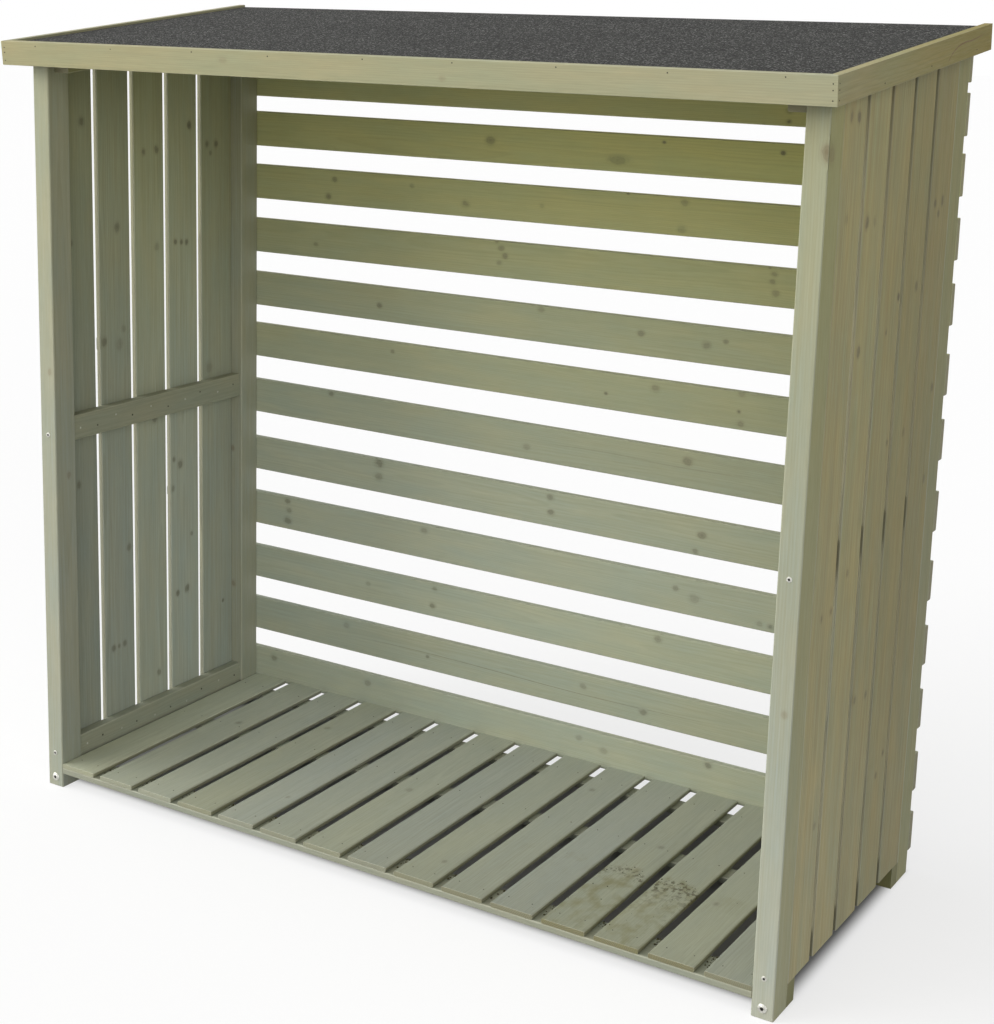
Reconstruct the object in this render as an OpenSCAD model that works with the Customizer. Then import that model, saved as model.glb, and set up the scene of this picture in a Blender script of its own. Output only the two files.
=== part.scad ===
// Firewood rack: an open-fronted, lean-to log store of stained softwood.
// Two boarded side frames carry a slatted back, a slatted floor and a felted roof
// that falls towards the open front. +X runs along the front, +Y towards the back.

/* [Frame] */
// Width over the outer faces of the posts
frame_width = 1700; // [1200:10:2400]
// Depth over the front and rear faces of the posts
frame_depth = 691; // [500:1:900]
// Height of the front posts at their front faces, up to the underside of the roof
front_height = 1598; // [1300:1:1900]
// Fall of the roof towards the front, in degrees
roof_pitch = 5.4; // [2:0.1:10]

/* [Posts and feet] */
// Width of a post, as seen from the front
post_width = 42; // [36:1:60]
// Depth of a post, from front to back
post_depth = 60; // [45:1:80]
// Length of the foot block that stands against each post, from front to back
foot_length = 32; // [20:1:60]
// Easing of the long edges of the sawn timber
edge_ease = 2; // [0.5:0.5:4]

/* [Side walls] */
// Thickness of the upright side boards
side_board_thickness = 12; // [8:0.5:16]
// Width of a side board; the last one is ripped to close up to the rear post
side_board_width = 100; // [80:1:130]
// Open gap between two side boards
side_board_gap = 15; // [5:1:30]
// Thickness of the side rails behind the boards
rail_thickness = 24; // [18:1:30]
// Height of the mid and bottom side rails
rail_height = 54; // [40:1:70]
// Height of the top side rail, square to the roof
top_rail_height = 44; // [30:1:55]
// Height of the mid rail's centre line above the ground
mid_rail_level = 798; // [500:1:1000]

/* [Back] */
// Height of a back board
back_board_height = 80; // [60:1:85]
// Thickness of a back board
back_board_thickness = 18; // [14:1:25]
// Height of the lowest back board's lower edge above the ground
back_board_start = 46; // [30:1:80]
// Gap between the top back board and the underside of the roof
back_board_clearance = 6; // [4:1:30]

/* [Floor] */
// Height of the underside of the floor slats, which is also the height of the feet
floor_level = 45; // [35:1:80]
// Width of a floor slat
floor_slat_width = 90; // [70:1:120]
// Thickness of a floor slat
floor_slat_thickness = 10; // [8:1:22]
// Smallest gap between two floor slats
floor_slat_gap = 18; // [8:1:30]
// Width of the front floor batten, from front to back
front_batten_width = 75; // [35:1:110]
// Width of the middle and rear floor battens, from front to back
floor_batten_width = 45; // [35:1:60]
// Thickness of a floor batten
floor_batten_thickness = 14; // [10:1:30]

/* [Roof] */
// Roof overhang past the outer faces of the side frames, to the fascia's outer face
side_overhang = 29; // [25:1:80]
// Roof overhang past the front faces of the posts, along the slope
front_overhang = 57; // [40:1:120]
// Roof overhang past the rear faces of the posts, along the slope
rear_overhang = 25; // [22:1:80]
// Thickness of the roof panel
deck_thickness = 12; // [9:1:20]
// Thickness of the mineral felt on the roof panel
felt_thickness = 3; // [2:0.5:5]
// Height of the fascia boards
fascia_height = 48; // [40:1:80]
// Thickness of the fascia boards
fascia_thickness = 16; // [12:1:22]
// Height by which the fascia boards stand above the felt
fascia_lip = 5; // [1:1:12]
// Width of the two roof battens that lie inside the side frames
roof_batten_width = 38; // [30:1:60]
// Height of the roof battens
roof_batten_height = 50; // [35:1:70]
// Distance of the roof battens' ends from the outer faces of the posts
roof_batten_inset = 15; // [5:1:40]

/* [Hidden] */
// Gaps between the back boards as nailed, from the lowest up; they stretch to fill the height
BACK_GAPS = [48, 53, 55, 55, 62, 60, 46, 52, 46, 42, 34, 19];
// Rise of each back board from its left end to its right end, from the lowest up
BACK_RISES = [0, 1, 0, -4, -8, -10, -4, 0, 8, 6, 3, 0, 0];

BACK_BOARDS = [for (i = [1:len(BACK_RISES)]) str("back_board_", i)];

LEFT = -1;
RIGHT = 1;

outer_x = frame_width / 2;
post_inner_x = outer_x - post_width;
board_inner_x = outer_x - side_board_thickness;
rail_inner_x = board_inner_x - rail_thickness;
rear_post_y = frame_depth - post_depth;
tall = front_height + frame_depth;

// Side boards: equal boards and gaps from the front post, and a last board that takes the rest
side_span = rear_post_y - post_depth;
side_pitch = side_board_width + side_board_gap;
side_board_count = max(1, floor((side_span + side_board_gap) / side_pitch));
last_board_width = side_span - (side_board_count - 1) * side_pitch;

// Back boards: the gaps as nailed, stretched to end just below the roof
roof_at_rear = front_height + frame_depth * tan(roof_pitch);
back_board_count = len(BACK_RISES);
back_free = roof_at_rear - back_board_clearance - back_board_start - back_board_count * back_board_height;
gap_stretch = back_free / total(BACK_GAPS, len(BACK_GAPS));

// Floor slats: as many as fit between the posts, evenly spread
floor_width = 2 * post_inner_x;
slat_count = floor((floor_width + floor_slat_gap) / (floor_slat_width + floor_slat_gap));
slat_pitch = (floor_width - floor_slat_width) / (slat_count - 1);

// Roof, in its own slope: x across, y up the slope from the posts' front faces, z square to it
fascia_outer_x = outer_x + side_overhang;
fascia_inner_x = fascia_outer_x - fascia_thickness;
roof_front = -front_overhang;
roof_rear = frame_depth / cos(roof_pitch) + rear_overhang;
fascia_top = deck_thickness + felt_thickness + fascia_lip;
fascia_bottom = fascia_top - fascia_height;

// The origin lies at the ground, under the middle of the whole rack
front_reach = front_overhang * cos(roof_pitch) + fascia_top * sin(roof_pitch);
rear_reach = roof_rear * cos(roof_pitch) - fascia_bottom * sin(roof_pitch);
front_face_y = (front_reach - rear_reach) / 2;

// Colours of the stained wood and of the felt
stain_lit = "#a9a98a";
stain_side = "#8a8668";
stain_deep = "#75765c";
stain_back = "#8f8e70";
stain_floor = "#7f8371";
felt_grey = "#4b4b4a";

// Sum of the first n entries of a list
function total(list, n, i = 0) = i < n ? list[i] + total(list, n, i + 1) : 0;

// Lower edge of back board i, counted from 0 at the bottom
function back_board_z(i) = back_board_start + i * back_board_height + gap_stretch * total(BACK_GAPS, i);

// Puts a piece that is drawn from the posts' front faces into the rack's own frame
module placed() {
    translate([0, front_face_y, 0]) children();
}

// Puts a piece that is drawn in the roof's slope onto the rack
module on_roof() {
    placed() translate([0, 0, front_height]) rotate([roof_pitch, 0, 0]) children();
}

// Keeps what lies under the roof panel
module under_roof() {
    reach = outer_x + side_overhang;
    drop = tall * tan(roof_pitch);
    intersection() {
        children();
        placed() translate([-reach, 0, 0]) rotate([90, 0, 90]) linear_extrude(2 * reach)
            polygon([[-tall, -1], [2 * tall, -1], [2 * tall, front_height + 2 * drop], [-tall, front_height - drop]]);
    }
}

// Rectangle with eased corners
module eased_rectangle(a, b) {
    e = edge_ease;
    polygon([[e, 0], [a - e, 0], [a, e], [a, b - e], [a - e, b], [e, b], [0, b - e], [0, e]]);
}

// Timber of a size, with its grain along X, Y or Z and its long edges eased
module timber_x(size) {
    rotate([90, 0, 90]) linear_extrude(size.x) eased_rectangle(size.y, size.z);
}

module timber_y(size) {
    translate([0, size.y, 0]) rotate([90, 0, 0]) linear_extrude(size.y) eased_rectangle(size.x, size.z);
}

module timber_z(size) {
    linear_extrude(size.z) eased_rectangle(size.x, size.y);
}

// Corner post on one side, with its top cut to the roof's slope
module post(side, y) {
    x = side < 0 ? -outer_x : post_inner_x;
    color(stain_lit) under_roof() placed() translate([x, y, 0]) timber_z([post_width, post_depth, tall]);
}

// Foot block that stands against a post and carries the bottom rail
module foot(side, y) {
    x = side < 0 ? -outer_x : post_inner_x;
    color(stain_deep) placed() translate([x, y, 0]) cube([post_width, foot_length, floor_level]);
}

// Level rail between the two posts of a side frame, behind its boards
module side_rail(side, z) {
    x = side < 0 ? -board_inner_x : rail_inner_x;
    color(stain_deep) placed() translate([x, post_depth, z]) timber_y([rail_thickness, side_span, rail_height]);
}

// Sloping rail that lies under the roof panel, between the two posts of a side frame
module top_rail(side) {
    x = side < 0 ? -board_inner_x : rail_inner_x;
    color(stain_deep) intersection() {
        on_roof() translate([x, 0, -top_rail_height]) timber_y([rail_thickness, roof_rear, top_rail_height]);
        placed() translate([x, post_depth, 0]) cube([rail_thickness, side_span, tall]);
    }
}

// Upright boards of one side wall, from the foot blocks to the roof
module side_boards(side) {
    x = side < 0 ? -outer_x : board_inner_x;
    color(stain_side) under_roof() for (i = [0:side_board_count - 1]) {
        width = i < side_board_count - 1 ? side_board_width : last_board_width;
        placed() translate([x, post_depth + i * side_pitch, floor_level])
            timber_z([side_board_thickness, width, tall]);
    }
}

// One back board, nailed to the rear posts a little out of level
module back_board(i) {
    slant = asin(BACK_RISES[i] / frame_width);
    color(stain_back) placed() translate([0, frame_depth, back_board_z(i) + back_board_height / 2])
        rotate([0, -slant, 0]) translate([-outer_x, 0, -back_board_height / 2])
            timber_x([frame_width, back_board_thickness, back_board_height]);
}

// Batten across the underside of the floor slats
module floor_batten(reach, y, width) {
    color(stain_deep) placed() translate([-reach, y, floor_level - floor_batten_thickness])
        timber_x([2 * reach, width, floor_batten_thickness]);
}

// Floor slats, from the front faces of the posts to the back boards
module floor_slats() {
    color(stain_floor) placed() for (i = [0:slat_count - 1])
        translate([-post_inner_x + i * slat_pitch, 0, floor_level])
            timber_y([floor_slat_width, frame_depth, floor_slat_thickness]);
}

// Batten under the roof panel, against the inner faces of the posts
module roof_batten(side) {
    x = side < 0 ? -post_inner_x : post_inner_x - roof_batten_width;
    length = frame_depth - 2 * roof_batten_inset;
    color(stain_deep) on_roof() translate([x, roof_batten_inset, -roof_batten_height])
        timber_y([roof_batten_width, length, roof_batten_height]);
}

// Layer of the roof between the fascia boards
module roof_layer(low, thickness) {
    length = roof_rear - roof_front - fascia_thickness;
    on_roof() translate([-fascia_inner_x, roof_front + fascia_thickness, low])
        cube([2 * fascia_inner_x, length, thickness]);
}

module roof_deck() {
    color(stain_deep) roof_layer(0, deck_thickness);
}

module roof_felt() {
    color(felt_grey) roof_layer(deck_thickness, felt_thickness);
}

// Fascia board along the front, mitred at both ends
module fascia_front() {
    back = roof_front + fascia_thickness;
    color(stain_lit) on_roof() translate([0, 0, fascia_bottom]) linear_extrude(fascia_height)
        polygon([[-fascia_outer_x, roof_front], [fascia_outer_x, roof_front], [fascia_inner_x, back],
                 [-fascia_inner_x, back]]);
}

// Fascia board along one side, mitred at the front and cut square at the rear
module fascia_side(side) {
    back = roof_front + fascia_thickness;
    color(stain_lit) on_roof() translate([0, 0, fascia_bottom]) linear_extrude(fascia_height)
        polygon([for (p = [[fascia_outer_x, roof_front], [fascia_outer_x, roof_rear], [fascia_inner_x, roof_rear],
                           [fascia_inner_x, back]]) [side * p.x, p.y]]);
}

post(LEFT, 0);  // front_post_left
post(RIGHT, 0);  // front_post_right
post(LEFT, rear_post_y);  // rear_post_left
post(RIGHT, rear_post_y);  // rear_post_right
foot(LEFT, post_depth);  // front_foot_left
foot(RIGHT, post_depth);  // front_foot_right
foot(LEFT, rear_post_y - foot_length);  // rear_foot_left
foot(RIGHT, rear_post_y - foot_length);  // rear_foot_right
side_rail(LEFT, floor_level);  // bottom_rail_left
side_rail(RIGHT, floor_level);  // bottom_rail_right
side_rail(LEFT, mid_rail_level - rail_height / 2);  // mid_rail_left
side_rail(RIGHT, mid_rail_level - rail_height / 2);  // mid_rail_right
top_rail(LEFT);  // top_rail_left
top_rail(RIGHT);  // top_rail_right
side_boards(LEFT);  // side_boards_left
side_boards(RIGHT);  // side_boards_right
for (i = [0:back_board_count - 1]) back_board(i);
floor_batten(post_inner_x, 0, front_batten_width);  // floor_batten_front
floor_batten(board_inner_x, (frame_depth + floor_batten_width) / 2, floor_batten_width);  // floor_batten_middle
floor_batten(post_inner_x, rear_post_y - foot_length, floor_batten_width);  // floor_batten_rear
floor_slats();
roof_batten(LEFT);  // roof_batten_left
roof_batten(RIGHT);  // roof_batten_right
roof_deck();
roof_felt();
fascia_front();
fascia_side(LEFT);  // fascia_left
fascia_side(RIGHT);  // fascia_right
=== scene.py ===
import functools
import math
import random

import bmesh
import bpy
from mathutils import Matrix, Vector


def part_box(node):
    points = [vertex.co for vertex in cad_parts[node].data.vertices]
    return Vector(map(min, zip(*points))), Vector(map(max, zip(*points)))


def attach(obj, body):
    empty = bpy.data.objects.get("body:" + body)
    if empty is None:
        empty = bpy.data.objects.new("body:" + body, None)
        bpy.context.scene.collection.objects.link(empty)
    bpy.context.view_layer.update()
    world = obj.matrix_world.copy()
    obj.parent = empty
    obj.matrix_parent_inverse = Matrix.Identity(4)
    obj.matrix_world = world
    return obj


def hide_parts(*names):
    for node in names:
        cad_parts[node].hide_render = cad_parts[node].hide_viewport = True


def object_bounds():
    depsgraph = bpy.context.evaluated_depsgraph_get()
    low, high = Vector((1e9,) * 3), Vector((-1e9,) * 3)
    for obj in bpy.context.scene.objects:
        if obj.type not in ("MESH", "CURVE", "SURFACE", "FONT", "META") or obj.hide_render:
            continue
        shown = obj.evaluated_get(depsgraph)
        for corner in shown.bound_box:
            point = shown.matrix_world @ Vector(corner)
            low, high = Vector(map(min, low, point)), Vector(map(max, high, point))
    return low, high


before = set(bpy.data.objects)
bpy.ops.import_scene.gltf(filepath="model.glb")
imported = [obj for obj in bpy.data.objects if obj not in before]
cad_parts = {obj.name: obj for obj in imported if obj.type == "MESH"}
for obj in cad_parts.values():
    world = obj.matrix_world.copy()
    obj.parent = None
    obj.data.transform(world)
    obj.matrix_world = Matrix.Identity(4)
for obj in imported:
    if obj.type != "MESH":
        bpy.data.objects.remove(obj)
cadLow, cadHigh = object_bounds()
scene = bpy.context.scene
mm = 0.001
up = Vector((0, 0, 1))
forward = Vector((0, -1, 0))
sides = ("left", "right")
outOf = {"left": Vector((-1, 0, 0)), "right": Vector((1, 0, 0))}
print("frame loaded:", len(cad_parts), "pieces of timber and felt")


def toLinear(hexColour):
    # sRGB hex to the linear colour a shader wants
    parts = [int(hexColour[i:i + 2], 16) / 255 for i in (1, 3, 5)]
    return tuple(c / 12.92 if c <= 0.04045 else ((c + 0.055) / 1.055) ** 2.4 for c in parts) + (1.0,)


multiply = {"operation": "MULTIPLY"}     # settings that many nodes share
rgb = {"data_type": "RGBA"}


def addNode(tree, kind, settings={}, inputs={}, out=None):
    # adds one node with its settings and its inputs, as values, hex colours or links; gives it or its output
    node = tree.nodes.new("ShaderNode" + kind)
    for name, value in settings.items():
        setattr(node, name, value)
    for name, value in inputs.items():
        if isinstance(value, bpy.types.NodeSocket):
            tree.links.new(value, node.inputs[name])
        else:
            node.inputs[name].default_value = toLinear(value) if isinstance(value, str) else value
    return node if out is None else node.outputs[out]


def startMaterial(name):
    # an empty material, and what adds its nodes
    material = bpy.data.materials.new(name)
    material.use_nodes = True
    material.node_tree.nodes.clear()
    return material, functools.partial(addNode, material.node_tree)


def finishMaterial(add, inputs, strength, distance, height):
    # a Principled shader with its inputs and a bump, on the material's output
    bump = add("Bump", {}, {"Strength": strength, "Distance": distance, "Height": height}, 0)
    shader = add("BsdfPrincipled", {}, {**inputs, "Normal": bump}, 0)
    add("OutputMaterial", {}, {"Surface": shader})


def setRamp(node, stops):
    # stops are (position, grey level or hex colour); gives the ramp's colour
    ramp = node.color_ramp
    while len(ramp.elements) < len(stops):
        ramp.elements.new(0.5)
    for element, (position, value) in zip(ramp.elements, stops):
        element.position = position
        element.color = toLinear(value) if isinstance(value, str) else (value, value, value, 1)
    return node.outputs["Color"]


def newObject(name, data):
    thing = bpy.data.objects.new(name, data)
    scene.collection.objects.link(thing)
    return thing


def newMesh(name, bm, material):
    mesh = bpy.data.meshes.new(name)
    bm.to_mesh(mesh)
    bm.free()
    mesh.materials.append(material)
    return mesh


def newPiece(name, bm, material):
    # turns a bmesh into a piece that rides with the rack
    piece = newObject(name, newMesh(name, bm, material))
    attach(piece, "root")
    return piece


def joinedPiece(name, parts, material):
    # one piece from many bmeshes
    whole = bmesh.new()
    scratch = bpy.data.meshes.new("scratch")
    for bm in parts:
        bm.to_mesh(scratch)
        bm.free()
        whole.from_mesh(scratch)
    bpy.data.meshes.remove(scratch)
    return newPiece(name, whole, material)


def pointLayers(bm, *names):
    # vectors on a bmesh's points, for the materials to read
    return [bm.verts.layers.float_vector.new(name) for name in names]


woodGrain = {
    "ringWidth": 3.4 * mm,            # slow-grown spruce
    "ringWobble": 18 * mm,            # how far a ring strays from straight
    "ringDrift": (700 * mm, 90 * mm),   # every pair is a length along the grain and one across it
    "cloud": (190 * mm, 45 * mm),     # patches where the stain lies thinner
    "streak": (260 * mm, 5 * mm),     # stripes that the stain leaves along the grain
    "fibre": (45 * mm, 1.6 * mm),     # real fibres are finer; this is the coarsest that still reads as fibre
    "film": (42 * mm, 28 * mm),       # trodden dirt: a thin film
    "crust": (13 * mm, 10 * mm),      # and specks on it
    "roughness": 0.55,                # of all these patterns
    "detail": {"ringDrift": 2.0, "cloud": 3.0, "streak": 3.0, "fibre": 2.0, "film": 4.0, "crust": 4.0},
    "ringStops": [(0.0, 0.0), (0.45, 0.12), (0.8, 0.9), (0.93, 1.0), (1.0, 0.0)],     # early to late wood
    "cloudStops": [(0.32, 0.0), (0.68, 1.0)],
    "streakStops": [(0.3, 0.0), (0.72, 1.0)],
    "knotStops": [(0.0, 0.0), (0.3, 0.1), (0.52, 0.38), (0.66, 0.85), (0.8, 0.75), (1.0, 1.0)],   # rim to heart
    "knotRagged": (1.3, 0.35),        # how much the specks tear a knot's outline, and its size between them
    "fibreFrom": 0.42,                # above this a fibre darkens the wood,
    "fibreShow": 0.6,                 # this much of the way to late wood
    "endRings": 0.7,                  # how dark late wood is in end grain
    "lightStep": 0.2,                 # the share of the colour that a step in lightness adds
    # each layer of dirt: its pattern, its colour, where it shows, and how much of it at most
    "dirt": (("film", "film", [(0.46, 0.0), (0.68, 1.0)], 0.65),
             ("crust", "soil", [(0.5, 0.0), (0.6, 1.0)], 0.75)),
    "fibreReach": (0.3, 0.7),         # the fibres' range, over which the roughness goes from low to high
    "bump": 0.5,
    "reliefDepth": 0.25 * mm,
    "lateRelief": -0.35,              # the relief of the rings, against the fibres'
}


def stainedSoftwood(name, look):
    # Planed spruce under a thin grey-green stain: the grain shows through faintly, the stain is
    # cloudy, knots and end grain take it darker, the narrow edges in the gaps between planks take the same dark as
    # painted shade, and the arrises are paler, as rubbed wear and a painted highlight.
    material, add = startMaterial(name)
    grain, tone, knot, arris, cutEnd = [add("Attribute", {"attribute_name": part})
                                        for part in ("grain", "tone", "knot", "arris", "cutEnd")]
    grain = grain.outputs["Vector"]
    tone = add("SeparateXYZ", {}, {0: tone.outputs["Vector"]})     # lightness, warmth, dirt
    knot = add("SeparateXYZ", {}, {0: knot.outputs["Vector"]})     # nearness to its heart, darkness

    # one noise for each pattern that runs with the grain
    pattern = {}
    for part, detail in woodGrain["detail"].items():
        along, across = woodGrain[part]
        place = add("VectorMath", multiply, {0: grain, 1: (1 / along, 1 / across, 1 / across)}, 0)
        pattern[part] = add("TexNoise", {}, {
            "Vector": place, "Scale": 1.0, "Detail": detail, "Roughness": woodGrain["roughness"]}, "Fac")

    # growth rings: distance from the heart of the tree, which wanders along the board
    flat = add("VectorMath", multiply, {0: grain, 1: (0, 1, 1)}, 0)
    heart = add("VectorMath", {"operation": "LENGTH"}, {0: flat}, "Value")
    rings = add("Math", {"operation": "MULTIPLY_ADD"},
                {0: pattern["ringDrift"], 1: woodGrain["ringWobble"], 2: heart}, 0)
    rings = add("Math", {"operation": "DIVIDE"}, {0: rings, 1: woodGrain["ringWidth"]}, 0)
    rings = add("Math", {"operation": "FRACT"}, {0: rings}, 0)
    late, cloud, streak = [setRamp(add("ValToRGB", {}, {0: value}), woodGrain[stops])
                           for value, stops in ((rings, "ringStops"), (pattern["cloud"], "cloudStops"),
                                                (pattern["streak"], "streakStops"))]
    fibre = add("Math", {"operation": "SUBTRACT", "use_clamp": True},
                {0: pattern["fibre"], 1: woodGrain["fibreFrom"]}, 0)

    # the stain, thin or full, then three layers of darker grain over it
    colour = add("Mix", rgb, {0: cloud, 6: look["thin"], 7: look["body"]}, 2)
    for layer, strength, shade in ((late, look["ringShow"], "late"), (fibre, woodGrain["fibreShow"], "late"),
                                   (streak, look["streakShow"], "streak")):
        show = add("Math", multiply, {0: layer, 1: strength}, 0)
        colour = add("Mix", rgb, {0: show, 6: colour, 7: look[shade]}, 2)

    # board by board: warmer as painted warm light under the roof, lighter or darker by the plank and by painted
    # light and shade
    warmer = add("Mix", {"data_type": "RGBA", "blend_type": "MULTIPLY"},
                 {0: 1.0, 6: colour, 7: look["sheltered"]}, 2)
    colour = add("Mix", {"data_type": "RGBA", "clamp_factor": False},     # warmth may go past 0 and 1
                 {0: tone.outputs["Y"], 6: colour, 7: warmer}, 2)
    light = add("Math", {"operation": "MULTIPLY_ADD"},
                {0: tone.outputs["X"], 1: woodGrain["lightStep"], 2: 1.0}, 0)
    colour = add("VectorMath", {"operation": "SCALE"}, {0: colour, "Scale": light}, 0)

    # end grain drinks the stain, and the narrow edges between planks take its colour as painted shade; arrises are
    # paler, as rubbed wear and a painted highlight; a knot is a dark rim round a brown heart, with a faint halo;
    # and dirt trodden in near the front is an olive film with dark specks on it
    endRings = add("Math", multiply, {0: late, 1: woodGrain["endRings"]}, 0)
    endAndGapColour = add("Mix", rgb, {0: endRings, 6: look["endAndGapPale"], 7: look["endAndGapDark"]}, 2)
    torn, sound = woodGrain["knotRagged"]
    ragged = add("Math", {"operation": "MULTIPLY_ADD"}, {0: pattern["crust"], 1: torn, 2: sound}, 0)
    near = add("Math", multiply, {0: ragged, 1: knot.outputs["X"]}, 0)
    knotShape = setRamp(add("ValToRGB", {}, {0: near}), woodGrain["knotStops"])
    layers = [(cutEnd.outputs["Fac"], look["endAndGapShow"], endAndGapColour),
              (arris.outputs["Fac"], look["arrisShow"], look["arrisWearAndHighlight"]),
              (knotShape, knot.outputs["Y"], look["knot"])]
    for part, shade, stops, most in woodGrain["dirt"]:
        patch = setRamp(add("ValToRGB", {}, {0: pattern[part]}), stops)
        reach = add("MapRange", {"interpolation_type": "SMOOTHSTEP"}, {
            0: tone.outputs["Z"], 1: look[shade + "From"], 2: look[shade + "Full"], 3: 0.0, 4: most}, 0)
        layers.append((patch, reach, look[shade]))
    for layer, strength, shade in layers:
        show = add("Math", multiply, {0: layer, 1: strength}, 0)
        colour = add("Mix", rgb, {0: show, 6: colour, 7: shade}, 2)

    fibreLow, fibreHigh = woodGrain["fibreReach"]
    rough = add("MapRange", {}, {
        0: pattern["fibre"], 1: fibreLow, 2: fibreHigh, 3: look["roughLow"], 4: look["roughHigh"]}, 0)
    height = add("Math", {"operation": "MULTIPLY_ADD"},
                 {0: late, 1: woodGrain["lateRelief"], 2: pattern["fibre"]}, 0)
    finishMaterial(add, {"Base Color": colour, "Roughness": rough},
                   woodGrain["bump"], woodGrain["reliefDepth"], height)
    return material


baseLook = {
    "thin": "#a1a293", "body": "#989f97",           # where the stain lies thinly, and in full
    # the last colour on the next line tints the painted warm light under the roof
    "late": "#7d8270", "streak": "#7f826e", "sheltered": "#fff6b0",
    "ringShow": 0.2, "streakShow": 0.2, "endAndGapShow": 0.85, "endAndGapPale": "#8f8a6c", "endAndGapDark": "#625e47",
    # arrises are painted paler: rubbed wear and a painted highlight
    "arrisShow": 0.3, "arrisWearAndHighlight": "#bcbca6", "knot": "#57523c",
    "film": "#77744a", "filmFrom": 0.3, "filmFull": 1.2, "soil": "#4a4428", "soilFrom": 1.2, "soilFull": 1.6,
    "roughLow": 0.56, "roughHigh": 0.74,
}
looks = {                        # what each wood has of its own
    "stainedSpruceFrame": {"streak": "#8a8562", "streakShow": 0.3, "arrisShow": 0.12, "knot": "#67502f"},
    "stainedSpruceFascia": {"thin": "#a4a188", "body": "#9ba08b", "sheltered": "#ffeda6", "knot": "#6a4a2c"},
    "stainedSpruceBoards": {"thin": "#b1ab8e", "body": "#9ea596", "late": "#84836b", "streak": "#8a7650",
                            "ringShow": 0.3, "streakShow": 0.5, "arrisShow": 0.1, "knot": "#463c28",
                            # the end colours here serve both the boards' end grain and the painted shade in the
                            # gaps between them
                            "endAndGapPale": "#6b6850", "endAndGapDark": "#4a4838"},
    "stainedSpruceLeftBoards": {"thin": "#a9ad9e", "body": "#a0aba4", "late": "#82867a", "streak": "#82806c",
                                "ringShow": 0.3, "streakShow": 0.4},
    "stainedSpruceBackBoards": {"thin": "#b0b39c", "body": "#a6afa0", "late": "#868b76", "streak": "#848670"},
    "weatheredSpruceFloor": {"thin": "#afb3a5", "body": "#a8aea4", "late": "#828778", "streak": "#868a78",
                             "endAndGapPale": "#77714c", "endAndGapDark": "#43402a"},
    "stainedSpruceRails": {"thin": "#9f9f8c", "body": "#969c8e"},
}
frameWood, fasciaWood, boardWood, leftWood, backWood, floorWood, railWood = [
    stainedSoftwood(name, {**baseLook, **look}) for name, look in looks.items()]


panelMake = {
    "figure": (320 * mm, 9 * mm),     # the face veneer's figure, along the grain and across it
    "ply": 2.4 * mm,
    "face": [(0.3, "#877f5f"), (0.5, "#9d9675"), (0.75, "#a8a283")],
    "edgePale": "#8a7a55", "edgeDark": "#6b5b3d",
}


def stainedPlywood():
    # Softwood plywood under the felt: stained face veneer, and five plies that show at its cut edges
    material, add = startMaterial("stainedPlywood")
    grain = add("Attribute", {"attribute_name": "grain"}, out="Vector")
    cutEdge = add("Attribute", {"attribute_name": "plyEdge"}, out="Fac")
    along, across = panelMake["figure"]
    place = add("VectorMath", multiply, {0: grain, 1: (1 / along, 1 / across, 0)}, 0)
    figure = add("TexNoise", {}, {
        "Vector": place, "Scale": 1.0, "Detail": 4.0, "Roughness": 0.6, "Distortion": 0.4}, "Fac")
    face = setRamp(add("ValToRGB", {}, {0: figure}), panelMake["face"])
    depth = add("SeparateXYZ", {}, {0: grain}, "Z")
    plies = add("Math", {"operation": "PINGPONG"}, {0: depth, 1: panelMake["ply"]}, 0)
    plies = add("MapRange", {}, {0: plies, 1: 1.0 * mm, 2: 1.4 * mm, 3: 0.0, 4: 1.0}, 0)
    edge = add("Mix", rgb, {0: plies, 6: panelMake["edgePale"], 7: panelMake["edgeDark"]}, 2)
    colour = add("Mix", rgb, {0: cutEdge, 6: face, 7: edge}, 2)
    finishMaterial(add, {"Base Color": colour, "Roughness": 0.7}, 0.4, 0.3 * mm, figure)
    return material


feltMake = {
    "grit": 2.5 * mm,                 # real grit is about 1 mm; it is drawn coarser so that it shows
    "patch": 120 * mm,                # patches that are worn a little darker
    "grains": [(0.0, "#0e0e0d"), (0.4, "#1d1d1b"), (0.7, "#31312e"), (0.88, "#4c4c48"), (1.0, "#8a8b88")],
    "wear": (0.8, 1.02),
    "relief": 0.6 * mm,
}


def mineralFelt():
    # Bitumen roofing felt with crushed slate rolled into it: matt charcoal, sparkling with paler
    # and darker grains
    material, add = startMaterial("mineralRoofingFelt")
    place = add("TexCoord", out="Object")
    grit = add("TexVoronoi", {}, {"Vector": place, "Scale": 1 / feltMake["grit"]})
    shade = add("SeparateColor", {}, {0: grit.outputs["Color"]}, 0)
    grains = setRamp(add("ValToRGB", {}, {0: shade}), feltMake["grains"])
    patches = add("TexNoise", {}, {
        "Vector": place, "Scale": 1 / feltMake["patch"], "Detail": 4.0, "Roughness": 0.6}, "Fac")
    worn, whole = feltMake["wear"]
    wear = add("MapRange", {}, {0: patches, 1: 0.3, 2: 0.7, 3: worn, 4: whole}, 0)
    colour = add("VectorMath", {"operation": "SCALE"}, {0: grains, "Scale": wear}, 0)
    finishMaterial(add, {"Base Color": colour, "Roughness": 0.9, "Specular IOR Level": 0.2},
                   0.7, feltMake["relief"], grit.outputs["Distance"])
    return material


def platedSteel(name, dull, bright, metallic, roughLow, roughHigh):
    # Zinc on steel: a soft grey metal, a little blotched; bright when new, dull or browned outdoors
    material, add = startMaterial(name)
    place = add("TexCoord", out="Object")
    blotch = add("TexNoise", {}, {"Vector": place, "Scale": 1 / (3 * mm), "Detail": 3.0}, "Fac")
    colour = setRamp(add("ValToRGB", {}, {0: blotch}), [(0.35, dull), (0.65, bright)])
    rough = add("MapRange", {}, {0: blotch, 1: 0.3, 2: 0.7, 3: roughLow, 4: roughHigh}, 0)
    shader = add("BsdfPrincipled", {}, {"Base Color": colour, "Roughness": rough, "Metallic": metallic}, 0)
    add("OutputMaterial", {}, {"Surface": shader})
    return material


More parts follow.
